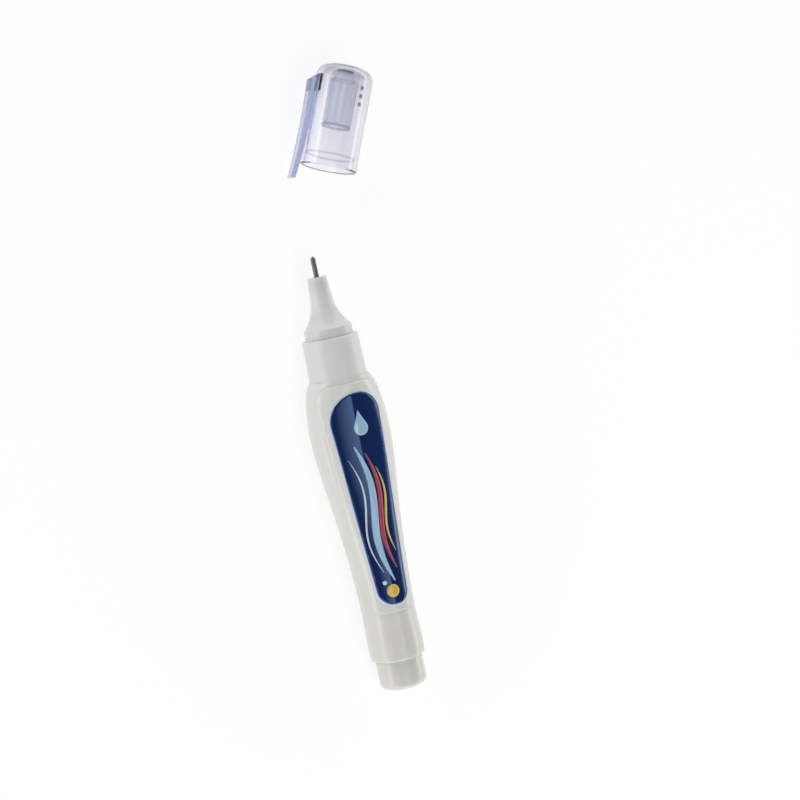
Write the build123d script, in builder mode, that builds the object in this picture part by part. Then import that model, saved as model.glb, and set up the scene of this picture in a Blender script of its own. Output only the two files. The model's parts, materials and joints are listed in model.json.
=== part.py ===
"""Correction pen lying beside its taken off cap.

The pen lies along +X with its rear face at the origin, its tip at the far end and its label up.
The cap lies beyond the tip, turned about a point beside the pen, and swings back onto the nozzle.
"""

import os
from math import cos, radians, sin

from build123d import *

os.makedirs("parts", exist_ok=True)

# Clearances between pieces
press_gap = 0.02
snap_gap = 0.05
seat_gap = 0.05

# Lengths along the pen, from the rear face to the tip
spigot_length = 9.1
barrel_length = 19.2
taper_length = 49.3
shoulder_length = 16.4
collar_length = 12.0
ring_height = 3.2
flare_height = 5.8
cone_height = 8.8
tube_reach = 5.8
needle_reach = 0.4

step_x = spigot_length
taper_x = step_x + barrel_length
widest_x = taper_x + taper_length
foot_x = widest_x + shoulder_length
collar_top_x = foot_x + collar_length
ring_top_x = collar_top_x + ring_height
cone_root_x = ring_top_x + flare_height
nozzle_top_x = cone_root_x + cone_height
tube_end_x = nozzle_top_x + tube_reach
needle_end_x = tube_end_x + needle_reach

# Nozzle, and the collar that clamps its flange
ring_radius = 7.1
ring_edge = 0.35
cone_root_radius = 3.5
cone_top_radius = 2.75
flare_hollow = 0.36
flare_radius = 12.0
cone_edge = 0.4
throat_step = 0.5
flange_step = 0.5
flange_thickness = 1.0
nozzle_wall = 1.6
lip_thickness = 1.0
lip_wall = 0.7
collar_draft = 0.2
collar_edge = 0.3

flange_radius = ring_radius + flange_step
chamber_radius = flange_radius + snap_gap
collar_top_radius = chamber_radius + lip_wall
collar_radius = collar_top_radius + collar_draft
flange_top_x = collar_top_x - lip_thickness
flange_foot_x = flange_top_x - flange_thickness

# Gasket and the bottle's neck, which the collar snaps over
gasket_thickness = 0.8
collar_wall = 0.7
bead_height = 0.4
bead_width = 1.2
bead_setback = 4.5
neck_wall = 1.3
neck_top_x = flange_foot_x - gasket_thickness
neck_radius = collar_radius - collar_wall - bead_height - snap_gap
neck_bore = neck_radius - neck_wall
bead_x = neck_top_x - bead_setback

# Bottle: half width across the label's face and half depth through it
wall = 1.2
end_wall = 1.3
spigot_slack = 0.05
spigot_edge = 2.0
step_height = 0.95
step_edge = 0.5
widest_half_width = 12.15
shoulder_ledge = 0.12
body_half_depth = collar_radius
spigot_radius = ring_radius - spigot_slack
barrel_half_width = spigot_radius + step_height
foot_half_width = collar_radius + shoulder_ledge

# Swell of the sides: how far along the taper or shoulder, and how much of the growth is there
taper_curve = ((0.15, 0.09), (0.39, 0.31), (0.63, 0.63), (0.85, 0.92))
shoulder_curve = ((0.3, 0.945), (0.5, 0.84), (0.68, 0.69), (0.83, 0.48), (0.93, 0.26))

# Label on the front: a clear film with the printed panel on it
label_gap = 0.06
film_thickness = 0.12
panel_thickness = 0.1
film_rear_setback = 14.7
film_front_setback = 1.6
film_rear_half_width = 6.8
film_front_half_width = 10.4
film_rear_corner = 2.5
film_front_corner = 4.5
panel_rear_setback = 16.4
panel_front_setback = 4.0
panel_rear_half_width = 5.05
panel_front_half_width = 9.0
panel_rear_right_corner = 4.3
panel_front_right_corner = 7.0
panel_front_left_corner = 9.0
panel_rear_left_corner = 5.2
panel_lift = 2 * label_gap + film_thickness

# Valve in the nozzle
tube_radius = 0.75
tube_grip = 6.3
tube_edge = 0.2
head_radius = 1.7
head_thickness = 0.8
needle_radius = 0.3
needle_slack = 0.08
follower_radius = 1.2
follower_thickness = 0.7
follower_gap = 0.05
spring_length = 4.0
spring_radius = 0.95
spring_turns = 5
wire_radius = 0.13
retainer_thickness = 1.4
tail_reach = 0.3
flow_hole_radius = 0.35
flow_hole_count = 4

tube_bore = needle_radius + needle_slack
valve_radius = head_radius + press_gap
valve_front_x = nozzle_top_x - tube_grip
head_back_x = valve_front_x - head_thickness
follower_front_x = head_back_x - follower_gap
follower_back_x = follower_front_x - follower_thickness
retainer_front_x = follower_back_x - spring_length
retainer_back_x = retainer_front_x - retainer_thickness
base_bore = ring_radius - nozzle_wall

# Mixing ball, resting near the low side of the bottle
ball_radius = 2.5
ball_gap = 0.3
ball_x = 51.5

# Cap: its mouth goes over the nozzle's base ring, and its rim meets the collar
cap_slack = 0.08
cap_wall = 1.15
cap_length = 30.2
mouth_depth = 3.6
mouth_step = 0.28
bore_draft = 0.15
rim_edge = 0.25
dome_edge = 3.4
dome_wall = 1.3
dome_rise = 0.6
boss_length = 3.0
boss_radius = 2.6
sleeve_bore = 3.65
sleeve_wall = 0.7
sleeve_draft = 0.15
sleeve_setback = 12.1
sleeve_lip = 0.5
clip_gap = 0.3
clip_lean = 1.3
clip_thickness = 2.0
clip_waist_gap = 0.4
clip_waist_thickness = 1.65
clip_end_thickness = 1.2
clip_waist_x = 9.0
clip_width = 4.4
clip_reach = 4.9
clip_setback = 3.9
clip_root_height = 5.0
clip_slope = 2.0
clip_edge = 0.5
pip_count = 3
pip_pitch = 2.4
pip_setback = 6.3
pip_length = 1.1
pip_width = 0.9
pip_height = 0.3
pip_angle = 22.7

mouth_radius = ring_radius + cap_slack
cap_radius = mouth_radius + cap_wall
cap_bore = mouth_radius - mouth_step
dome_bore = cap_bore - bore_draft
dome_inside = cap_length - dome_wall
sleeve_radius = sleeve_bore + sleeve_wall
clip_top = cap_length - clip_setback
clip_root = clip_top - clip_root_height

# Where the cap lies: its seat on the pen, turned about a point beside the pen
swing_back = 0.8
swing_radius = 118.4
swing_angle = 23.8
seat_x = collar_top_x + seat_gap
swing_x = seat_x - swing_back
turn = radians(swing_angle)
cap_frame = Plane(
    origin=(
        swing_x + swing_back * cos(turn) + swing_radius * sin(turn),
        -swing_radius - swing_back * sin(turn) + swing_radius * cos(turn),
        0,
    ),
    x_dir=(cos(turn), -sin(turn), 0),
    z_dir=(0, 0, 1),
)
cap_axis = Axis(cap_frame.origin, cap_frame.x_dir)


def oval_stations(inset):
    """Places along the bottle's oval part and the half width there, for a skin set in by inset."""
    rear = step_x + inset
    foot = foot_x - inset
    growth = widest_half_width - barrel_half_width
    narrowing = widest_half_width - foot_half_width
    stations = [(x, barrel_half_width) for x in (rear, (rear + taper_x) / 2, taper_x)]
    for along, share in taper_curve:
        stations.append((taper_x + along * taper_length, barrel_half_width + share * growth))
    stations.append((widest_x, widest_half_width))
    for along, share in shoulder_curve:
        stations.append((widest_x + along * (foot - widest_x), foot_half_width + share * narrowing))
    stations.append((foot, foot_half_width))
    return [(x, half_width - inset) for x, half_width in stations]


def oval_sections(inset):
    """Ellipses through the bottle's oval part, set in by inset."""
    sections = []
    for x, half_width in oval_stations(inset):
        with BuildSketch(Plane.YZ.offset(x)) as section:
            Ellipse(half_width, body_half_depth - inset)
        sections.append(section.sketch)
    return sections


def label_outline(rear_setback, front_setback, rear_half_width, front_half_width, corners):
    """A label's outline seen from above, its corners rounded from rear right round to rear left."""
    rear = step_x + rear_setback
    front = foot_x - front_setback
    places = (
        (rear, -rear_half_width),
        (front, -front_half_width),
        (front, front_half_width),
        (rear, rear_half_width),
    )
    with BuildSketch(Plane.XY) as outline:
        with BuildLine():
            Polyline(*places, close=True)
        make_face()
        for place, radius in zip(places, corners):
            fillet(outline.vertices().sort_by_distance(place)[0], radius)
    return outline.sketch


# Bottle: oval body, rear spigot that the cap can also be posted on, and neck with its snap bead
with BuildPart() as bottle:
    loft(oval_sections(0))
    fillet(bottle.edges().group_by(Axis.X)[0], step_edge)
    with BuildSketch(Plane.XY):
        with BuildLine():
            Polyline(
                (0, 0),
                (0, spigot_radius),
                (step_x + wall, spigot_radius),
                (step_x + wall, 0),
                close=True,
            )
        profile = make_face()
        fillet(profile.vertices().group_by(Axis.X)[0].sort_by(Axis.Y)[-1:], spigot_edge)
    revolve(axis=Axis.X)
    with BuildSketch(Plane.XY):
        with BuildLine():
            Polyline(
                (foot_x - wall, 0),
                (foot_x - wall, neck_radius),
                (bead_x, neck_radius),
                (bead_x, neck_radius + bead_height),
                (bead_x + bead_width, neck_radius),
                (neck_top_x, neck_radius),
                (neck_top_x, 0),
                close=True,
            )
        make_face()
    revolve(axis=Axis.X)
    loft(oval_sections(wall), mode=Mode.SUBTRACT)
    with BuildSketch(Plane.XY):
        with Locations((end_wall, 0)):
            Rectangle(step_x + 2 * wall - end_wall, spigot_radius - wall, align=Align.MIN)
    revolve(axis=Axis.X, mode=Mode.SUBTRACT)
    with BuildSketch(Plane.XY):
        with Locations((foot_x - 2 * wall, 0)):
            Rectangle(neck_top_x - foot_x + 2 * wall, neck_bore, align=Align.MIN)
    revolve(axis=Axis.X, mode=Mode.SUBTRACT)
bottle.part.label = "bottle"

# Label
film_outline = label_outline(
    film_rear_setback,
    film_front_setback,
    film_rear_half_width,
    film_front_half_width,
    (film_rear_corner, film_front_corner, film_front_corner, film_rear_corner),
)
panel_outline = label_outline(
    panel_rear_setback,
    panel_front_setback,
    panel_rear_half_width,
    panel_front_half_width,
    (panel_rear_right_corner, panel_front_right_corner, panel_front_left_corner, panel_rear_left_corner),
)
with BuildPart() as label_film:
    loft(oval_sections(-label_gap - film_thickness))
    loft(oval_sections(-label_gap), mode=Mode.SUBTRACT)
    extrude(film_outline, amount=2 * body_half_depth, mode=Mode.INTERSECT)
label_film.part.label = "label_film"

with BuildPart() as label_panel:
    loft(oval_sections(-panel_lift - panel_thickness))
    loft(oval_sections(-panel_lift), mode=Mode.SUBTRACT)
    extrude(panel_outline, amount=2 * body_half_depth, mode=Mode.INTERSECT)
label_panel.part.label = "label_panel"

# Collar with its top lip, flange chamber and snap groove
with BuildPart() as collar:
    with BuildSketch(Plane.XY):
        with BuildLine():
            Polyline(
                (foot_x, neck_radius + snap_gap),
                (foot_x, collar_radius),
                (collar_top_x, collar_top_radius),
                (collar_top_x, ring_radius + snap_gap),
                (flange_top_x, ring_radius + snap_gap),
                (flange_top_x, chamber_radius),
                (neck_top_x, chamber_radius),
                (neck_top_x, neck_radius + snap_gap),
                (bead_x + bead_width + snap_gap, neck_radius + snap_gap),
                (bead_x - snap_gap, neck_radius + bead_height + snap_gap),
                (bead_x - snap_gap, neck_radius + snap_gap),
                close=True,
            )
        profile = make_face()
        fillet(profile.vertices().group_by(Axis.X)[-1].sort_by(Axis.Y)[-1:], collar_edge)
    revolve(axis=Axis.X)
collar.part.label = "collar"

# Nozzle: flange, base ring, concave flare and slim cone, bored for the valve
with BuildPart() as nozzle:
    with BuildSketch(Plane.XY):
        with BuildLine():
            flare_foot_radius = ring_radius - ring_edge
            flare = ThreePointArc(
                (cone_root_x, cone_root_radius),
                ((cone_root_x + ring_top_x) / 2, (cone_root_radius + flare_foot_radius) / 2 - flare_hollow),
                (ring_top_x, flare_foot_radius),
            )
            Polyline(
                flare @ 1,
                (ring_top_x - ring_edge, ring_radius),
                (collar_top_x, ring_radius),
                (collar_top_x, ring_radius - throat_step),
                (flange_top_x, ring_radius - throat_step),
                (flange_top_x, flange_radius),
                (flange_foot_x, flange_radius),
                (flange_foot_x, base_bore),
                (retainer_back_x, valve_radius),
                (valve_front_x, valve_radius),
                (valve_front_x, tube_radius),
                (nozzle_top_x, tube_radius),
                (nozzle_top_x, cone_top_radius),
                flare @ 0,
            )
        profile = make_face()
        fillet(profile.vertices().sort_by_distance((cone_root_x, cone_root_radius))[:1], flare_radius)
        fillet(profile.vertices().group_by(Axis.X)[-1].sort_by(Axis.Y)[-1:], cone_edge)
    revolve(axis=Axis.X)
nozzle.part.label = "nozzle"

# Gasket between the nozzle's flange and the neck
with BuildPart() as neck_gasket:
    with BuildSketch(Plane.YZ.offset(neck_top_x)):
        Circle(flange_radius)
        Circle(neck_bore, mode=Mode.SUBTRACT)
    extrude(amount=gasket_thickness)
neck_gasket.part.label = "neck_gasket"

# Steel tube with a head that seats inside the nozzle
with BuildPart() as tip_tube:
    with BuildSketch(Plane.XY):
        with BuildLine():
            Polyline(
                (head_back_x, tube_bore),
                (head_back_x, head_radius),
                (valve_front_x, head_radius),
                (valve_front_x, tube_radius),
                (tube_end_x - tube_edge, tube_radius),
                (tube_end_x, tube_radius - tube_edge),
                (tube_end_x, tube_bore),
                close=True,
            )
        make_face()
    revolve(axis=Axis.X)
tip_tube.part.label = "tip_tube"

# Needle with a round end
with BuildPart() as valve_needle:
    with BuildSketch(Plane.YZ.offset(retainer_back_x - tail_reach)):
        Circle(needle_radius)
    extrude(amount=needle_end_x - needle_radius - retainer_back_x + tail_reach)
    with Locations((needle_end_x - needle_radius, 0, 0)):
        Sphere(needle_radius)
valve_needle.part.label = "valve_needle"

# Follower on the needle, which closes the tube's inner end
with BuildPart() as needle_follower:
    with BuildSketch(Plane.YZ.offset(follower_back_x)):
        Circle(follower_radius)
        Circle(needle_radius + press_gap, mode=Mode.SUBTRACT)
    extrude(amount=follower_thickness)
needle_follower.part.label = "needle_follower"

# Spring between the retainer and the follower
with BuildPart() as valve_spring:
    coil_length = spring_length - 2 * wire_radius - 2 * press_gap
    with BuildLine() as coil:
        Helix(
            pitch=coil_length / spring_turns,
            height=coil_length,
            radius=spring_radius,
            center=(retainer_front_x + wire_radius + press_gap, 0, 0),
            direction=(1, 0, 0),
        )
    with BuildSketch(Plane(origin=coil.line @ 0, z_dir=coil.line % 0)):
        Circle(wire_radius)
    sweep(is_frenet=True)
valve_spring.part.label = "valve_spring"

# Retainer with a guide hole for the needle's tail and holes for the fluid
with BuildPart() as spring_retainer:
    with BuildSketch(Plane.YZ.offset(retainer_back_x)):
        Circle(head_radius)
        Circle(needle_radius + needle_slack, mode=Mode.SUBTRACT)
        with PolarLocations((needle_radius + needle_slack + head_radius) / 2, flow_hole_count):
            Circle(flow_hole_radius, mode=Mode.SUBTRACT)
    extrude(amount=retainer_thickness)
spring_retainer.part.label = "spring_retainer"

# Mixing ball
with BuildPart() as mixing_ball:
    with Locations((ball_x, 0, wall + ball_gap + ball_radius - body_half_depth)):
        Sphere(ball_radius)
mixing_ball.part.label = "mixing_ball"

# Cap shell: domed tube with a stepped mouth, a boss for the sleeve, a slot for the clip and grip pips
with BuildPart() as cap_shell:
    with BuildSketch(cap_frame) as shell:
        with BuildLine():
            dome = TangentArc((cap_length, 0), (cap_length - dome_rise, cap_radius), tangent=(0, 1))
            Polyline(
                dome @ 1,
                (rim_edge, cap_radius),
                (0, cap_radius - rim_edge),
                (0, mouth_radius),
                (mouth_depth, mouth_radius),
                (mouth_depth, cap_bore),
                (dome_inside, dome_bore),
                (dome_inside, boss_radius),
                (dome_inside - boss_length, boss_radius),
                (dome_inside - boss_length, 0),
                dome @ 0,
            )
        make_face()
        fillet(shell.vertices().sort_by_distance((cap_length, cap_radius))[:1], dome_edge)
        fillet(shell.vertices().sort_by_distance((dome_inside, dome_bore))[:1], dome_edge - cap_wall)
    revolve(axis=cap_axis)
    with BuildSketch(cap_frame):
        with Locations((clip_root - press_gap, cap_bore - mouth_step)):
            Rectangle(clip_root_height + 2 * press_gap, cap_wall + 3 * mouth_step, align=Align.MIN)
    extrude(amount=clip_width / 2 + press_gap, both=True, mode=Mode.SUBTRACT)
    tilt = radians(pip_angle)
    outward = cap_frame.z_dir * cos(tilt) - cap_frame.y_dir * sin(tilt)
    for i in range(pip_count):
        along = cap_length - pip_setback - i * pip_pitch
        root = cap_frame.origin + cap_frame.x_dir * along + outward * (cap_radius - cap_wall / 2)
        with BuildSketch(Plane(origin=root, x_dir=cap_frame.x_dir, z_dir=outward)):
            Rectangle(pip_length, pip_width)
        extrude(amount=cap_wall / 2 + pip_height)
cap_shell.part.label = "cap_shell"

# Pocket clip, let into the slot in the shell
with BuildPart() as cap_clip:
    bar_inside = cap_radius + clip_gap
    bar_outside = bar_inside + clip_thickness
    end_inside = bar_inside + clip_lean
    end_outside = end_inside + clip_end_thickness
    waist_inside = cap_radius + clip_waist_gap
    waist_outside = waist_inside + clip_waist_thickness
    with BuildSketch(cap_frame) as side:
        with BuildLine():
            Polyline(
                (clip_root, bar_inside),
                (clip_root, cap_bore),
                (clip_top, cap_bore),
                (clip_top, cap_radius),
                (clip_top - clip_slope, bar_outside),
            )
            ThreePointArc(
                (clip_top - clip_slope, bar_outside),
                (clip_waist_x, waist_outside),
                (-clip_reach, end_outside),
            )
            Line((-clip_reach, end_outside), (-clip_reach, end_inside))
            ThreePointArc((-clip_reach, end_inside), (clip_waist_x, waist_inside), (clip_root, bar_inside))
        make_face()
        fillet(side.vertices().sort_by_distance((clip_root, bar_inside))[:1], clip_edge)
        fillet(side.vertices().sort_by_distance((clip_top - clip_slope, bar_outside))[:1], clip_edge)
    extrude(amount=clip_width / 2, both=True)
    fillet(cap_clip.edges().sort_by(SortBy.LENGTH)[-2:], clip_edge)
cap_clip.part.label = "cap_clip"

# Sealing sleeve pressed on the shell's boss, with a lip at its open end
with BuildPart() as inner_cap:
    with BuildSketch(cap_frame):
        with BuildLine():
            Polyline(
                (sleeve_setback, sleeve_bore),
                (sleeve_setback, sleeve_radius),
                (sleeve_setback + sleeve_lip, sleeve_radius),
                (sleeve_setback + 2 * sleeve_lip, sleeve_radius - sleeve_draft),
                (dome_inside - press_gap, sleeve_radius),
                (dome_inside - press_gap, boss_radius + press_gap),
                (dome_inside - boss_length, boss_radius + press_gap),
                (dome_inside - boss_length, sleeve_bore),
                close=True,
            )
        make_face()
    revolve(axis=cap_axis)
inner_cap.part.label = "inner_cap"

export_step(bottle.part, "parts/bottle.step")
export_step(label_film.part, "parts/label_film.step")
export_step(label_panel.part, "parts/label_panel.step")
export_step(collar.part, "parts/collar.step")
export_step(nozzle.part, "parts/nozzle.step")
export_step(neck_gasket.part, "parts/neck_gasket.step")
export_step(tip_tube.part, "parts/tip_tube.step")
export_step(valve_needle.part, "parts/valve_needle.step")
export_step(needle_follower.part, "parts/needle_follower.step")
export_step(valve_spring.part, "parts/valve_spring.step")
export_step(spring_retainer.part, "parts/spring_retainer.step")
export_step(mixing_ball.part, "parts/mixing_ball.step")
export_step(cap_shell.part, "parts/cap_shell.step")
export_step(cap_clip.part, "parts/cap_clip.step")
export_step(inner_cap.part, "parts/inner_cap.step")
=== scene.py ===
"""Correction pen lying on a white table, with its clear cap taken off beside it."""

import json
import math

import bpy
from mathutils import Matrix, Vector, geometry


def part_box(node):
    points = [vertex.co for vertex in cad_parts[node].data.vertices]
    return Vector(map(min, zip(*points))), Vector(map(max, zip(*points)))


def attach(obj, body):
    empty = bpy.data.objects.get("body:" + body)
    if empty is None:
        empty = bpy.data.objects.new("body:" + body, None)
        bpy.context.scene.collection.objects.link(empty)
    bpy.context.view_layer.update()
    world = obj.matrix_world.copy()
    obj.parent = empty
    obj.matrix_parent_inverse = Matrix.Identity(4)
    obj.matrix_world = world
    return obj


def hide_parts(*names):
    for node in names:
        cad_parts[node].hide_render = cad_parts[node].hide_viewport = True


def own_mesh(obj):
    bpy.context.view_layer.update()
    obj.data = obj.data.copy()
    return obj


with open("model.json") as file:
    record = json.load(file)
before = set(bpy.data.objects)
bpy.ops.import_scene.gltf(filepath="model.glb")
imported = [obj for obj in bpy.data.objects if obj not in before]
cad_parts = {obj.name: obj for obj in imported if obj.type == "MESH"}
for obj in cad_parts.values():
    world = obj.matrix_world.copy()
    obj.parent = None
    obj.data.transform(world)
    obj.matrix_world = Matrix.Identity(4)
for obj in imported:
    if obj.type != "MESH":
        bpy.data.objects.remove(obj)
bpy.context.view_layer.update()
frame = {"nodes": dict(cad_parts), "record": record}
nodes = frame["nodes"]
scene = bpy.context.scene
MM = 0.001
WHITE, BLACK = (1, 1, 1), (0, 0, 0)

# The sizes down to the spring's are in millimetres.
# Bottle that the label follows, as its solid has it. The curves lead from the taper's start to the
# widest place and on to the foot, each point as a share of the way and a share of the swell.
half_depth = 8.55
step_x, taper_x, widest_x, foot_x = 9.1, 28.3, 77.6, 94.0
barrel_half_width, widest_half_width, foot_half_width = 8.0, 12.15, 8.67
taper_curve = ((0.15, 0.09), (0.39, 0.31), (0.63, 0.63), (0.85, 0.92), (1, 1))
shoulder_curve = ((0.3, 0.945), (0.5, 0.84), (0.68, 0.69), (0.83, 0.48), (0.93, 0.26), (1, 0))

# Corners of the film and of the printed panel, from rear right round to rear left: place, radius
film_corners = (
    ((23.8, -6.8), 2.5),
    ((92.4, -10.4), 4.5),
    ((92.4, 10.4), 4.5),
    ((23.8, 6.8), 2.5),
)
panel_corners = (
    ((25.5, -5.05), 4.3),
    ((90.0, -9.0), 7.0),
    ((90.0, 9.0), 9.0),
    ((25.5, 5.05), 5.2),
)
border_width = 0.65

# Layers of the label: how far the outer face is off the bottle, then the thickness
film_layer = (0.11, 0.06)
border_layer = (0.15, 0.035)
panel_layer = (0.185, 0.03)
print_layer = (0.212, 0.02)
shine_layer = (0.235, 0.018)

# How finely the label's outlines and the sheets within them are divided
corner_steps, outline_step = 16, 0.6
grid_step_x, grid_step_y, edge_clearance = 1.0, 0.45, 0.3
stroke_steps, shine_steps, drop_steps, disc_steps = 60, 16, 48, 28

# Cap, with lengths from its rim and radii from its axis. The shell's boss begins in the sleeve
# between two shares of the cap's length, and the clip comes out of the wall across clip_wall.
cap_length, cap_radius = 30.2, 8.33
sleeve_lip_end = 12.9
boss_start, boss_full = 0.83, 0.86
clip_root = (21.3, 26.3)
clip_wall = (cap_radius - 0.1, cap_radius + 0.3)
pip_foot_radius, pip_top_radius = 8.4, 8.5

# Valve's spring, and how finely its wire is divided
spring_radius, wire_radius, spring_turns = 0.95, 0.13, 5
wire_sides, steps_per_turn = 12, 32

# Stage, in metres and watts. The softbox fades along y over its whole width.
table_half_size = 6
softbox_size, softbox_power = (0.68, 0.615), 2.75
softbox_place = (-0.28, 0.0925, 0.8)
softbox_fade = (-0.215, 0.4)
table_glow, room_strength = 0.72, 3.8

# Camera, where the photograph was taken from
camera_place = (0.158892, 0.208438, 0.611679)
camera_right = Vector((-0.206595, -0.909285, 0.361274))
camera_up = Vector((0.971554, -0.234335, -0.03421))
camera_back = camera_right.cross(camera_up)
camera_turn = Matrix((camera_right, camera_up, camera_back)).transposed()
camera_data = bpy.data.cameras.new("camera")
camera_data.lens = 100
camera_data.sensor_width = 36
camera = bpy.data.objects.new("camera", camera_data)
scene.collection.objects.link(camera)
camera.matrix_world = Matrix.Translation(camera_place) @ camera_turn.to_4x4()
scene.camera = camera
scene.view_settings.view_transform = "Standard"

# Where the cap's rim lies and how the cap is turned, from its mouth in the record
cap_mouth = next(mount for mount in frame["record"]["mounts"] if mount["name"] == "cap_mouth")
mouth_depth = cap_mouth["dims"]["length_mm"]
cap_place = Vector(cap_mouth["pos_m"]) + Vector(cap_mouth["axis"]) * mouth_depth / 2 * MM
cap_turn = math.atan2(-cap_mouth["axis"][1], -cap_mouth["axis"][0])


# Helpers for materials
def new_material(name, sockets):
    """A Principled material with these constants set on its shader.

    Where a node sets a socket as well, an export may still read the constant.
    """
    material = bpy.data.materials.new(name)
    material.use_nodes = True
    shader = material.node_tree.nodes["Principled BSDF"]
    for socket, value in sockets.items():
        shader.inputs[socket].default_value = value
    return material, material.node_tree, shader


def place(tree, stretch=(1, 1, 1)):
    """Coordinates in metres on the object, stretched along its axes."""
    coordinates = tree.nodes.new("ShaderNodeTexCoord")
    mapping = tree.nodes.new("ShaderNodeMapping")
    mapping.inputs["Scale"].default_value = stretch
    tree.links.new(coordinates.outputs["Object"], mapping.inputs["Vector"])
    return mapping.outputs["Vector"]


def place_on_cap(tree, stretch=(1, 1, 1)):
    """Coordinates from the cap's rim, along its axis, across it and up, stretched along these."""
    coordinates = tree.nodes.new("ShaderNodeTexCoord")
    mapping = tree.nodes.new("ShaderNodeMapping")
    mapping.vector_type = "TEXTURE"
    mapping.inputs["Location"].default_value = cap_place
    mapping.inputs["Rotation"].default_value = (0, 0, cap_turn)
    mapping.inputs["Scale"].default_value = [1 / s for s in stretch]
    tree.links.new(coordinates.outputs["Object"], mapping.inputs["Vector"])
    return mapping.outputs["Vector"]


def coordinate(tree, vector, axis):
    """One coordinate of a place."""
    split = tree.nodes.new("ShaderNodeSeparateXYZ")
    tree.links.new(vector, split.inputs["Vector"])
    return split.outputs[axis]


def unsigned(tree, value):
    """A value without its sign."""
    node = tree.nodes.new("ShaderNodeMath")
    node.operation = "ABSOLUTE"
    tree.links.new(value, node.inputs[0])
    return node.outputs["Value"]


def share(tree, value, start, end):
    """How far a value is from start to end, from 0 to 1."""
    scale = tree.nodes.new("ShaderNodeMapRange")
    scale.inputs["From Min"].default_value = start
    scale.inputs["From Max"].default_value = end
    tree.links.new(value, scale.inputs["Value"])
    return scale.outputs["Result"]


def along(tree, vector, axis, start, end):
    """How far a place is from start to end along an axis, from 0 to 1."""
    return share(tree, coordinate(tree, vector, axis), start, end)


def noise(tree, vector, scale, detail=3.0, roughness=0.5):
    """Noise with about scale features in a metre."""
    texture = tree.nodes.new("ShaderNodeTexNoise")
    texture.inputs["Scale"].default_value = scale
    texture.inputs["Detail"].default_value = detail
    texture.inputs["Roughness"].default_value = roughness
    tree.links.new(vector, texture.inputs["Vector"])
    return texture.outputs["Fac"]


def ramp(tree, value, stops):
    """Colours at places along a value."""
    node = tree.nodes.new("ShaderNodeValToRGB")
    elements = node.color_ramp.elements
    while len(elements) < len(stops):
        elements.new(0.5)
    for element, (position, colour) in zip(elements, stops):
        element.position = position
        element.color = (*colour, 1)
    tree.links.new(value, node.inputs["Fac"])
    return node.outputs["Color"]


def mottled(tree, pattern, low, high):
    """A colour that wanders between two with a noise."""
    return ramp(tree, pattern, ((0.3, low), (0.7, high)))


def grey(level):
    """A grey for a ramp."""
    return (level, level, level)


def join(tree, kind, first, second):
    """Two colours put together, each at its full weight, such as one tinted by another."""
    node = tree.nodes.new("ShaderNodeMix")
    node.data_type = "RGBA"
    node.blend_type = kind
    node.inputs["Factor"].default_value = 1
    tree.links.new(first, node.inputs["A"])
    tree.links.new(second, node.inputs["B"])
    return node.outputs["Result"]


def bump(tree, shader, height, strength, depth):
    """Surface relief from a height, with its depth in metres."""
    node = tree.nodes.new("ShaderNodeBump")
    node.inputs["Strength"].default_value = strength
    node.inputs["Distance"].default_value = depth
    tree.links.new(height, node.inputs["Height"])
    tree.links.new(node.outputs["Normal"], shader.inputs["Normal"])


def vary(tree, node, socket, value, low, high):
    """A node's socket goes from low to high with a value. What sets it is given back."""
    scale = tree.nodes.new("ShaderNodeMapRange")
    scale.inputs["To Min"].default_value = low
    scale.inputs["To Max"].default_value = high
    tree.links.new(value, scale.inputs["Value"])
    tree.links.new(scale.outputs["Result"], node.inputs[socket])
    return scale


def surface(tree, shader, pattern, roughness, strength, depth):
    """Roughness within a range and relief, which both follow one pattern."""
    vary(tree, shader, "Roughness", pattern, *roughness)
    bump(tree, shader, pattern, strength, depth)


def absorb(tree, colour, density):
    """Colour that builds up along the way through clear plastic."""
    node = tree.nodes.new("ShaderNodeVolumeAbsorption")
    node.inputs["Color"].default_value = (*colour, 1)
    node.inputs["Density"].default_value = density
    tree.links.new(node.outputs["Volume"], tree.nodes["Material Output"].inputs["Volume"])


def ray_is(tree, *kinds):
    """1 for a ray of any of these kinds, 0 for another."""
    path = tree.nodes.new("ShaderNodeLightPath")
    answer, *others = [path.outputs[f"Is {kind} Ray"] for kind in kinds]
    for other in others:
        either = tree.nodes.new("ShaderNodeMath")
        either.operation = "MAXIMUM"
        tree.links.new(answer, either.inputs[0])
        tree.links.new(other, either.inputs[1])
        answer = either.outputs["Value"]
    return answer


def choose(tree, answer, for_no, for_yes, output):
    """One of two shaders goes to an output, by an answer of 0 or 1."""
    node = tree.nodes.new("ShaderNodeMixShader")
    tree.links.new(answer, node.inputs["Fac"])
    tree.links.new(for_no, node.inputs[1])
    tree.links.new(for_yes, node.inputs[2])
    tree.links.new(node.outputs["Shader"], tree.nodes[output].inputs["Surface"])


def let_light_in(tree, shader, colour):
    """Lamps shine through clear plastic, tinted by a colour, so that what it covers is lit."""
    through = tree.nodes.new("ShaderNodeBsdfTransparent")
    through.inputs["Color"].default_value = (*colour, 1)
    shaders = shader.outputs["BSDF"], through.outputs["BSDF"]
    choose(tree, ray_is(tree, "Shadow"), *shaders, "Material Output")


def bottle_tone(tree):
    """Warm white that greys a little towards the rear, with the faint mottle of blown plastic."""
    vector = place(tree)
    low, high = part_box("bottle")
    tone = ramp(tree, along(tree, vector, "X", low.x, high.x), (
        (0.0, (0.665, 0.657, 0.620)),
        (0.3, (0.675, 0.667, 0.630)),
        (0.6, (0.702, 0.697, 0.659)),
        (1.0, (0.712, 0.708, 0.676)),
    ))
    mottle = mottled(tree, noise(tree, vector, 160, detail=4), (0.965, 0.965, 0.96), WHITE)
    return join(tree, "MULTIPLY", tone, mottle)


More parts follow.
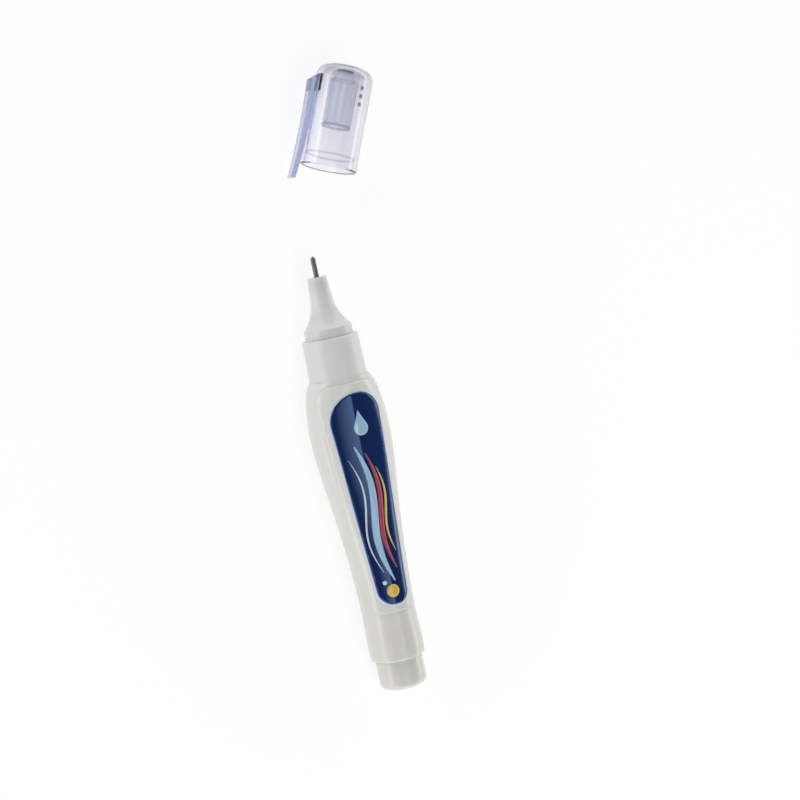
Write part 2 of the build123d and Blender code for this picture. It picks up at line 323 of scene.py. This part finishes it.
# Soft white bottle with a low gloss
bottle_material, tree, shader = new_material("bottle_polyethylene", {
    "Roughness": 0.25,
    "IOR": 1.5,
    "Subsurface Weight": 0.25,
    "Subsurface Radius": (0.0035, 0.0032, 0.0028),
    "Subsurface Scale": 1.0,
})
tree.links.new(bottle_tone(tree), shader.inputs["Base Color"])
fine = noise(tree, place(tree), 1500)
surface(tree, shader, fine, roughness=(0.2, 0.3), strength=0.03, depth=0.0003)

# Neutral white collar and nozzle, with fine lines along them. The nozzle's tone varies along it.
collar_material, tree, shader = new_material("collar_polypropylene", {
    "Roughness": 0.32,
    "IOR": 1.49,
    "Subsurface Weight": 0.15,
    "Subsurface Radius": (0.002, 0.002, 0.002),
    "Subsurface Scale": 1.0,
})
cloud = noise(tree, place(tree), 220)
tone = mottled(tree, cloud, (0.668, 0.665, 0.660), (0.690, 0.688, 0.684))
tree.links.new(tone, shader.inputs["Base Color"])
fine = noise(tree, place(tree, (0.25, 1, 1)), 2400)
surface(tree, shader, fine, roughness=(0.27, 0.38), strength=0.04, depth=0.0003)

nozzle_material, tree, shader = new_material("nozzle_polypropylene", {
    "Roughness": 0.3,
    "IOR": 1.49,
    "Subsurface Weight": 0.2,
    "Subsurface Radius": (0.002, 0.002, 0.002),
    "Subsurface Scale": 1.0,
})
vector = place(tree)
low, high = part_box("nozzle")
tone = ramp(tree, along(tree, vector, "X", low.x, high.x), (
    (0.2, (0.680, 0.677, 0.668)),
    (0.4, (0.640, 0.637, 0.630)),
    (0.65, (0.700, 0.700, 0.700)),
    (0.76, (0.680, 0.683, 0.692)),
    (0.92, (0.615, 0.624, 0.648)),
    (1.0, (0.670, 0.672, 0.680)),
))
mottle = mottled(tree, noise(tree, vector, 300), grey(0.96), WHITE)
tree.links.new(join(tree, "MULTIPLY", tone, mottle), shader.inputs["Base Color"])
fine = noise(tree, place(tree, (0.25, 1, 1)), 2400)
surface(tree, shader, fine, roughness=(0.25, 0.36), strength=0.04, depth=0.0003)

# Drawn stainless steel, with fine lines along the tube, and the polished steel of the ball
steel_material, tree, shader = new_material("drawn_steel", {"Metallic": 1.0, "Roughness": 0.28})
lines = noise(tree, place(tree, (0.06, 1, 1)), 9000, detail=4)
tone = ramp(tree, lines, ((0.25, (0.17, 0.155, 0.138)), (0.75, (0.28, 0.26, 0.235))))
tree.links.new(tone, shader.inputs["Base Color"])
surface(tree, shader, lines, roughness=(0.2, 0.38), strength=0.08, depth=0.00005)

ball_material, tree, shader = new_material("polished_steel", {"Metallic": 1.0, "Roughness": 0.12})
cloud = noise(tree, place(tree), 900, detail=4)
tone = mottled(tree, cloud, (0.50, 0.49, 0.48), (0.60, 0.59, 0.58))
tree.links.new(tone, shader.inputs["Base Color"])
vary(tree, shader, "Roughness", cloud, low=0.08, high=0.18)

# Natural plastic of the valve, and the soft seal
valve_material, tree, shader = new_material("valve_acetal", {"Roughness": 0.4})
cloud = noise(tree, place(tree), 1200)
tone = mottled(tree, cloud, (0.58, 0.575, 0.55), (0.64, 0.635, 0.61))
tree.links.new(tone, shader.inputs["Base Color"])
surface(tree, shader, cloud, roughness=(0.34, 0.46), strength=0.05, depth=0.0002)

gasket_material, tree, shader = new_material("gasket_rubber", {"Roughness": 0.75})
cloud = noise(tree, place(tree), 2500, detail=4)
tone = mottled(tree, cloud, (0.10, 0.10, 0.10), (0.14, 0.14, 0.135))
tree.links.new(tone, shader.inputs["Base Color"])
bump(tree, shader, cloud, strength=0.2, depth=0.0002)

# Clear cap with flow lines and a blue cast. Its tints by place are painted shade, where refraction
# darkens clear plastic: at the sides, deeper towards the dome; faintly down the middle; in the
# dome;
# a painted dark line on the mouth's step, inside only; on the right. The pips' tops are darker.
clear_material, tree, shader = new_material("clear_polystyrene", {
    "Roughness": 0.03,
    "IOR": 1.57,
    "Transmission Weight": 1.0,
})
vector = place_on_cap(tree)
across = tree.nodes.new("ShaderNodeCombineXYZ")
for axis in "YZ":
    tree.links.new(coordinate(tree, vector, axis), across.inputs[axis])
radius = tree.nodes.new("ShaderNodeVectorMath")
radius.operation = "LENGTH"
tree.links.new(across.outputs["Vector"], radius.inputs[0])
outward = share(tree, radius.outputs["Value"], 0, cap_radius * MM)
length = along(tree, vector, "X", 0, cap_length * MM)
aside = share(tree, unsigned(tree, coordinate(tree, vector, "Y")), 0, cap_radius * MM)
faint_tint, step_line_shade = (0.96, 0.96, 0.972), (0.62, 0.64, 0.72)
# Painted shade at the sides, deeper towards the dome; the middle is kept out of it
sides = ramp(tree, length, (
    (0.55, faint_tint),
    (0.78, (0.87, 0.875, 0.89)),
    (0.95, (0.77, 0.775, 0.80)),
))
middle = ramp(tree, aside, ((0.5, faint_tint), (0.68, BLACK)))
# Faint painted shade down the middle
centre = ramp(tree, aside, ((0.15, (0.92, 0.92, 0.925)), (0.5, WHITE)))
# Painted shade in the dome
dome = ramp(tree, length, ((0.925, WHITE), (0.965, (0.62, 0.63, 0.68))))
# Painted dark line of shade at the mouth's step, on the inside surfaces only
step = ramp(tree, along(tree, vector, "X", 0, 2 * mouth_depth * MM), (
    (0.44, WHITE),
    (0.47, step_line_shade),
    (0.53, step_line_shade),
    (0.56, WHITE),
))
outside = ramp(tree, outward, ((0.9, BLACK), (0.95, WHITE)))
# Painted shade on the cap's right side
rightward = along(tree, vector, "Y", -cap_radius * MM, 0)
right = ramp(tree, rightward, ((0.1, (0.86, 0.86, 0.875)), (0.6, WHITE)))
pip_height = share(tree, radius.outputs["Value"], pip_foot_radius * MM, pip_top_radius * MM)
pips = ramp(tree, pip_height, ((0.0, WHITE), (1.0, (0.14, 0.15, 0.20))))
tone = join(tree, "LIGHTEN", sides, middle)
for tint in (centre, dome, join(tree, "LIGHTEN", step, outside), right, pips):
    tone = join(tree, "MULTIPLY", tone, tint)
tree.links.new(tone, shader.inputs["Base Color"])
flow = noise(tree, place_on_cap(tree, (0.08, 1, 1)), 700)
surface(tree, shader, flow, roughness=(0.015, 0.06), strength=0.05, depth=0.0004)
absorb(tree, (0.45, 0.49, 0.80), density=45)
let_light_in(tree, shader, (0.90, 0.905, 0.92))

# Sleeve, darker at its lip and streaked lengthwise, but plain round the boss
sleeve_material, tree, shader = new_material("sleeve_polypropylene", {
    "Roughness": 0.16,
    "IOR": 1.49,
    "Transmission Weight": 1.0,
})
length = along(tree, place_on_cap(tree), "X", 0, cap_length * MM)
lip_end, lip_blur = sleeve_lip_end / cap_length, 0.01
wall_tint = (0.945, 0.962, 0.995)
tone = ramp(tree, length, (
    (lip_end - lip_blur, (0.62, 0.64, 0.70)),
    (lip_end, wall_tint),
    (boss_start, wall_tint),
    (boss_full, WHITE),
))
streaks = noise(tree, place_on_cap(tree, (0.05, 1, 1)), 800, detail=2)
streaks = ramp(tree, streaks, ((0.38, (0.84, 0.855, 0.89)), (0.6, WHITE)))
plain = ramp(tree, length, ((boss_start, BLACK), (boss_full, WHITE)))
tone = join(tree, "MULTIPLY", tone, join(tree, "LIGHTEN", streaks, plain))
tree.links.new(tone, shader.inputs["Base Color"])
flow = noise(tree, place_on_cap(tree, (0.1, 1, 1)), 1200)
surface(tree, shader, flow, roughness=(0.1, 0.24), strength=0.08, depth=0.0003)
absorb(tree, (0.12, 0.26, 0.54), density=25)
let_light_in(tree, shader, (0.92, 0.93, 0.96))

# Clip, less clear at its root in the cap's wall than along its arm
clip_material, tree, shader = new_material("clip_polystyrene", {
    "Base Color": (0.77, 0.80, 0.93, 1),
    "Roughness": 0.05,
    "IOR": 1.57,
    "Transmission Weight": 0.85,
})
root_clear, arm_clear = (0.1, 0.65), 0.87
vector = place_on_cap(tree)
root_length = along(tree, vector, "X", *(x * MM for x in clip_root))
out_of_wall = along(tree, vector, "Y", *(y * MM for y in clip_wall))
clear = vary(tree, shader, "Transmission Weight", out_of_wall, root_clear[0], arm_clear)
vary(tree, clear, "To Min", root_length, *root_clear)
flow = noise(tree, place_on_cap(tree, (0.08, 1, 1)), 500, detail=2)
surface(tree, shader, flow, roughness=(0.03, 0.08), strength=0.005, depth=0.0004)
absorb(tree, (0.25, 0.325, 0.65), density=170)


# Label stock: inks under a glossy laminate, and the film they are printed on
def laminate(tree, shader, roughness):
    """The label's gloss, with slight waves."""
    waves = noise(tree, place(tree, (0.4, 1, 1)), 260, detail=2)
    surface(tree, shader, waves, roughness, strength=0.03, depth=0.0006)


def ink(name, low, high):
    """A printed colour under the laminate, with the slight unevenness of print."""
    material, tree, shader = new_material(name, {
        "Roughness": 0.07,
        "IOR": 1.5,
        "Specular IOR Level": 0.9,
        "Specular Tint": (0.42, 0.64, 1.0, 1),
    })
    speckle = noise(tree, place(tree), 2600, detail=5, roughness=0.7)
    tree.links.new(mottled(tree, speckle, low, high), shader.inputs["Base Color"])
    laminate(tree, shader, roughness=(0.05, 0.1))
    return material


navy_ink = ink("navy_ink", (0.0006, 0.0095, 0.070), (0.0016, 0.0140, 0.086))
border_ink = ink("border_ink", (0.57, 0.60, 0.66), (0.61, 0.64, 0.70))
pale_ink = ink("pale_blue_ink", (0.30, 0.47, 0.62), (0.36, 0.54, 0.70))
white_ink = ink("white_ink", (0.60, 0.64, 0.68), (0.68, 0.72, 0.75))
red_ink = ink("red_ink", (0.36, 0.030, 0.035), (0.44, 0.042, 0.045))
yellow_ink = ink("yellow_ink", (0.66, 0.43, 0.035), (0.74, 0.50, 0.05))

film_material, tree, shader = new_material("label_film", {"Roughness": 0.12, "IOR": 1.48})
tree.links.new(bottle_tone(tree), shader.inputs["Base Color"])
laminate(tree, shader, roughness=(0.1, 0.17))

# Materials on the solids
for name, material in (
    ("bottle", bottle_material),
    ("collar", collar_material),
    ("nozzle", nozzle_material),
    ("neck_gasket", gasket_material),
    ("tip_tube", steel_material),
    ("valve_needle", steel_material),
    ("needle_follower", valve_material),
    ("spring_retainer", valve_material),
    ("mixing_ball", ball_material),
    ("cap_shell", clear_material),
    ("cap_clip", clip_material),
    ("inner_cap", sleeve_material),
):
    for material_slot in nodes[name].material_slots:
        material_slot.material = material


def add_mesh(name, points, faces, smooth, material):
    """A new object in the scene, with a flag for each face that says if it is shaded smooth."""
    mesh = bpy.data.meshes.new(name)
    mesh.from_pydata(points, [], faces)
    mesh.polygons.foreach_set("use_smooth", smooth)
    mesh.materials.append(material)
    mesh.update()
    piece = bpy.data.objects.new(name, mesh)
    scene.collection.objects.link(piece)
    return piece


# Valve spring: a coil of wire at the length of the spring's part; in the pen it shortens when the
# needle is pressed in
def wire_coil(name, start, end, material):
    """A coil of round wire about the pen's axis, filling the length from start to end in metres."""
    coil_radius, thick = spring_radius * MM, wire_radius * MM
    rise = end - start - 2 * thick
    steps = steps_per_turn * spring_turns
    points = []
    for k in range(steps + 1):
        turn = math.tau * spring_turns * k / steps
        outward = Vector((0, math.cos(turn), math.sin(turn)))
        around = math.tau * coil_radius * outward.yz.orthogonal()
        across = Vector((rise / spring_turns, *around)).normalized().cross(outward)
        centre = outward * coil_radius + Vector((start + thick + rise * k / steps, 0, 0))
        for i in range(wire_sides):
            angle = math.tau * i / wire_sides
            points.append(centre + (outward * math.cos(angle) + across * math.sin(angle)) * thick)
    last_ring = len(points) - wire_sides
    ends = [tuple(range(wire_sides))[::-1], tuple(range(last_ring, len(points)))]
    wall = []
    for k in range(steps):
        for i in range(wire_sides):
            a, b = k * wire_sides + i, k * wire_sides + (i + 1) % wire_sides
            wall.append((a, b, b + wire_sides, a + wire_sides))
    smooth = [False] * len(ends) + [True] * len(wall)
    return add_mesh(name, points, ends + wall, smooth, material)


low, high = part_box("valve_spring")
coil = wire_coil("valve_spring_coil", low.x, high.x, steel_material)
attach(coil, "pen")
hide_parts("valve_spring")
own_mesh(coil)


# Label pieces: thin closed sheets laid on the bottle's oval front
def smooth_curve(places, values):
    """A natural cubic curve through the values at these places."""
    count = len(places)
    steps = [places[i + 1] - places[i] for i in range(count - 1)]
    slopes = [(values[i + 1] - values[i]) / steps[i] for i in range(count - 1)]
    weight, bend = [0.0] * count, [0.0] * count
    for i in range(1, count - 1):
        middle = 2 * (steps[i - 1] + steps[i]) - steps[i - 1] * weight[i - 1]
        weight[i] = steps[i] / middle
        bend[i] = (6 * (slopes[i] - slopes[i - 1]) - steps[i - 1] * bend[i - 1]) / middle
    for i in range(count - 2, 0, -1):
        bend[i] -= weight[i] * bend[i + 1]

    def value(x):
        i = max(0, min(count - 2, sum(1 for p in places if p <= x) - 1))
        before, after, step = x - places[i], places[i + 1] - x, steps[i]
        return (
            (bend[i] * after**3 + bend[i + 1] * before**3) / (6 * step)
            + (values[i] / step - bend[i] * step / 6) * after
            + (values[i + 1] / step - bend[i + 1] * step / 6) * before
        )

    return value


swell = [(x, barrel_half_width) for x in (step_x, (step_x + taper_x) / 2, taper_x)]
for start, end, base, curve in (
    (taper_x, widest_x, barrel_half_width, taper_curve),
    (widest_x, foot_x, foot_half_width, shoulder_curve),
):
    for way, rise in curve:
        swell.append((start + way * (end - start), base + rise * (widest_half_width - base)))
half_width = smooth_curve([x for x, _ in swell], [width for _, width in swell])


def on_front(x, y, lift):
    """The point of the bottle's front above x, y, lifted off it, in metres."""
    across = y / (half_width(x) + lift)
    height = (half_depth + lift) * math.sqrt(max(0.0, 1 - across * across))
    return (x * MM, y * MM, height * MM)


def spaced(points, step):
    """A closed outline with points added wherever they are more than a step apart."""
    out = []
    for i, point in enumerate(points):
        after = points[(i + 1) % len(points)]
        count = max(1, math.ceil((after - point).length / step))
        out += [point.lerp(after, k / count) for k in range(count)]
    return out


def rounded(corners, margin=0.0):
    """A rounded outline seen from above, from its corners and radii, with a margin outside."""
    points = []
    for i, (spot, radius) in enumerate(corners):
        corner = Vector(spot)
        into = (corner - Vector(corners[i - 1][0])).normalized()
        out = (Vector(corners[(i + 1) % len(corners)][0]) - corner).normalized()
        bend = math.acos(max(-1, min(1, into.dot(out))))
        inward = Vector((-into.y, into.x))
        centre = corner - into * radius * math.tan(bend / 2) + inward * radius
        first = math.atan2(-into.x, into.y)
        for k in range(corner_steps + 1):
            angle = first + bend * k / corner_steps
            points.append(centre + Vector((math.cos(angle), math.sin(angle))) * (radius + margin))
    return spaced(points, outline_step)


def inside(point, outline):
    """Is the point within the outline?"""
    odd = False
    for i, a in enumerate(outline):
        b = outline[i - 1]
        if (a.y > point.y) != (b.y > point.y):
            crossing = (b.x - a.x) * (point.y - a.y) / (b.y - a.y) + a.x
            odd ^= point.x < crossing
    return odd


def sheet_on_front(name, outline, layer, material):
    """A thin closed sheet with this outline that follows the bottle's front in a layer."""
    lift, thickness = layer
    low_x, high_x = min(p.x for p in outline), max(p.x for p in outline)
    low_y, high_y = min(p.y for p in outline), max(p.y for p in outline)
    fill = []
    for i in range(1, int((high_x - low_x) / grid_step_x) + 1):
        for j in range(1, int((high_y - low_y) / grid_step_y) + 1):
            stagger = 0.5 * (j % 2)
            point = Vector((low_x + (i - stagger) * grid_step_x, low_y + j * grid_step_y))
            if not inside(point, outline):
                continue
            if min((point - p).length for p in outline) > edge_clearance:
                fill.append(point)
    edges = [(i, (i + 1) % len(outline)) for i in range(len(outline))]
    only_inside, tolerance = 1, 1e-6
    flat, _, faces, *_ = geometry.delaunay_2d_cdt(
        outline + fill, edges, [], only_inside, tolerance
    )
    count = len(flat)
    points = [on_front(p.x, p.y, height) for height in (lift, lift - thickness) for p in flat]
    top = [tuple(face) for face in faces]
    under = [tuple(count + i for i in reversed(face)) for face in faces]
    sides = dict.fromkeys(
        (a, face[(i + 1) % len(face)]) for face in faces for i, a in enumerate(face)
    )
    walls = [(b, a, a + count, b + count) for a, b in sides if (b, a) not in sides]
    smooth = [True] * len(top + under) + [False] * len(walls)
    piece = add_mesh(name, points, top + under + walls, smooth, material)
    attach(piece, "pen")
    return piece


def swoosh(start, end, sway, width, steps=stroke_steps):
    """The outline of a stroke that swings from start to end and thins out towards both."""
    blunt, fullness = 0.02, 0.7
    left, right = [], []
    axis = Vector(end) - Vector(start)
    across = Vector((-axis.y, axis.x)).normalized()
    for k in range(steps + 1):
        u = k / steps
        centre = Vector(start) + axis * u + across * sway * math.sin(math.tau * u)
        half = width / 2 * math.sin(math.pi * (blunt + (1 - 2 * blunt) * u)) ** fullness
        left.append(centre + across * half)
        right.append(centre - across * half)
    return left + right[::-1]


def drop(x, y, radius, length):
    """The outline of a drop whose point is towards the pen's tip."""
    sharpness, pinch = 3, 0.75
    points = []
    for k in range(drop_steps):
        angle = math.tau * k / drop_steps
        reach = max(0.0, math.cos(angle)) ** sharpness
        points.append(Vector((
            x + radius * math.cos(angle) + (length - 2 * radius) * reach,
            y + radius * math.sin(angle) * (1 - pinch * reach),
        )))
    return points


def disc(x, y, radius):
    """The outline of a dot."""
    turns = [math.tau * k / disc_steps for k in range(disc_steps)]
    return [Vector((x + radius * math.cos(t), y + radius * math.sin(t))) for t in turns]


film_outline = rounded(film_corners)
film = sheet_on_front("label_film_sheet", film_outline, film_layer, film_material)
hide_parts("label_film")
border_outline = rounded(panel_corners)
sheet_on_front("label_border", border_outline, border_layer, border_ink)
panel_outline = rounded(panel_corners, -border_width)
panel = sheet_on_front("label_print", panel_outline, panel_layer, navy_ink)
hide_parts("label_panel")
for name, outline, material in (
    ("print_stroke_pale", swoosh((74.0, 2.7), (33.0, -1.0), 1.6, 2.2), pale_ink),
    ("print_stroke_red", swoosh((71.5, -0.1), (36.5, -2.5), 1.4, 1.5), red_ink),
    ("print_stroke_yellow", swoosh((67.0, -2.5), (41.5, -3.4), 1.1, 0.8), yellow_ink),
    ("print_stroke_white", swoosh((70.5, 5.1), (36.0, 1.8), 1.5, 0.55), white_ink),
    ("print_drop", drop(79.0, -0.6, 2.2, 7.4), pale_ink),
    ("print_dot_large", disc(30.2, 0.2, 1.9), yellow_ink),
    ("print_dot_small", disc(33.0, 2.2, 0.6), white_ink),
):
    sheet_on_front(name, outline, print_layer, material)
shine = swoosh((80.5, 0.55), (77.6, 0.75), 0.18, 0.6, shine_steps)
sheet_on_front("print_drop_shine", shine, shine_layer, white_ink)

# Table: light bounces off it as off white, and what the camera sees of it, also in reflections and
# through clear plastic, glows up to white so that only the soft shadow shows
floor_material = bpy.data.materials.new("white_table")
floor_material.use_nodes = True
tree = floor_material.node_tree
tree.nodes.remove(tree.nodes["Principled BSDF"])
table = tree.nodes.new("ShaderNodeBsdfDiffuse")
table.inputs["Color"].default_value = (*grey(0.92), 1)
seen = tree.nodes.new("ShaderNodeBsdfDiffuse")
seen.inputs["Color"].default_value = (*grey(0.36), 1)
glow = tree.nodes.new("ShaderNodeEmission")
glow.inputs["Color"].default_value = (*WHITE, 1)
glow.inputs["Strength"].default_value = table_glow
white = tree.nodes.new("ShaderNodeAddShader")
tree.links.new(seen.outputs["BSDF"], white.inputs[0])
tree.links.new(glow.outputs["Emission"], white.inputs[1])
in_view = ray_is(tree, "Camera", "Glossy", "Transmission")
choose(tree, in_view, table.outputs["BSDF"], white.outputs["Shader"], "Material Output")
quarters = ((-1, -1), (1, -1), (1, 1), (-1, 1))
corners = [(x * table_half_size, y * table_half_size, 0) for x, y in quarters]
floor = add_mesh("floor", corners, [(0, 1, 2, 3)], [False], floor_material)
floor.location.z = -half_depth * MM

# Softbox overhead that fades to one side
softbox_data = bpy.data.lights.new("softbox", "AREA")
softbox_data.shape = "RECTANGLE"
softbox_data.size, softbox_data.size_y = softbox_size
softbox_data.energy = softbox_power
softbox_data.use_nodes = True
tree = softbox_data.node_tree
spot = tree.nodes.new("ShaderNodeNewGeometry")
fade = ramp(tree, along(tree, spot.outputs["Position"], "Y", *softbox_fade), (
    (0.0, WHITE),
    (0.15, grey(0.9)),
    (0.45, grey(0.58)),
    (0.75, grey(0.26)),
    (1.0, grey(0.02)),
))
tree.links.new(fade, tree.nodes["Emission"].inputs["Color"])
softbox = bpy.data.objects.new("softbox", softbox_data)
softbox.location = softbox_place
scene.collection.objects.link(softbox)

# Room whose walls light the pen, brightest a little above the table and a touch brighter at the
# ends, and the pale backdrop that the camera sees in its place
world = bpy.data.worlds.new("room")
world.use_nodes = True
tree = world.node_tree
direction = tree.nodes.new("ShaderNodeTexCoord").outputs["Generated"]
height = along(tree, direction, "Z", 0.0, 1.0)
room = tree.nodes["Background"]
room.inputs["Strength"].default_value = room_strength
walls = ramp(tree, height, (
    (0.0, grey(0.21)),
    (0.1, grey(0.60)),
    (0.2, WHITE),
    (0.26, grey(0.80)),
    (0.34, grey(0.12)),
    (0.5, grey(0.05)),
    (1.0, grey(0.05)),
))
endward = unsigned(tree, coordinate(tree, direction, "X"))
ends = ramp(tree, endward, ((0.3, BLACK), (0.6, grey(0.1))))
tree.links.new(join(tree, "ADD", walls, ends), room.inputs["Color"])
backdrop = tree.nodes.new("ShaderNodeBackground")
sky = ramp(tree, height, ((0.0, WHITE), (1.0, (0.86, 0.87, 0.90))))
tree.links.new(sky, backdrop.inputs["Color"])
backgrounds = room.outputs["Background"], backdrop.outputs["Background"]
choose(tree, ray_is(tree, "Camera", "Transmission"), *backgrounds, "World Output")
scene.world = world
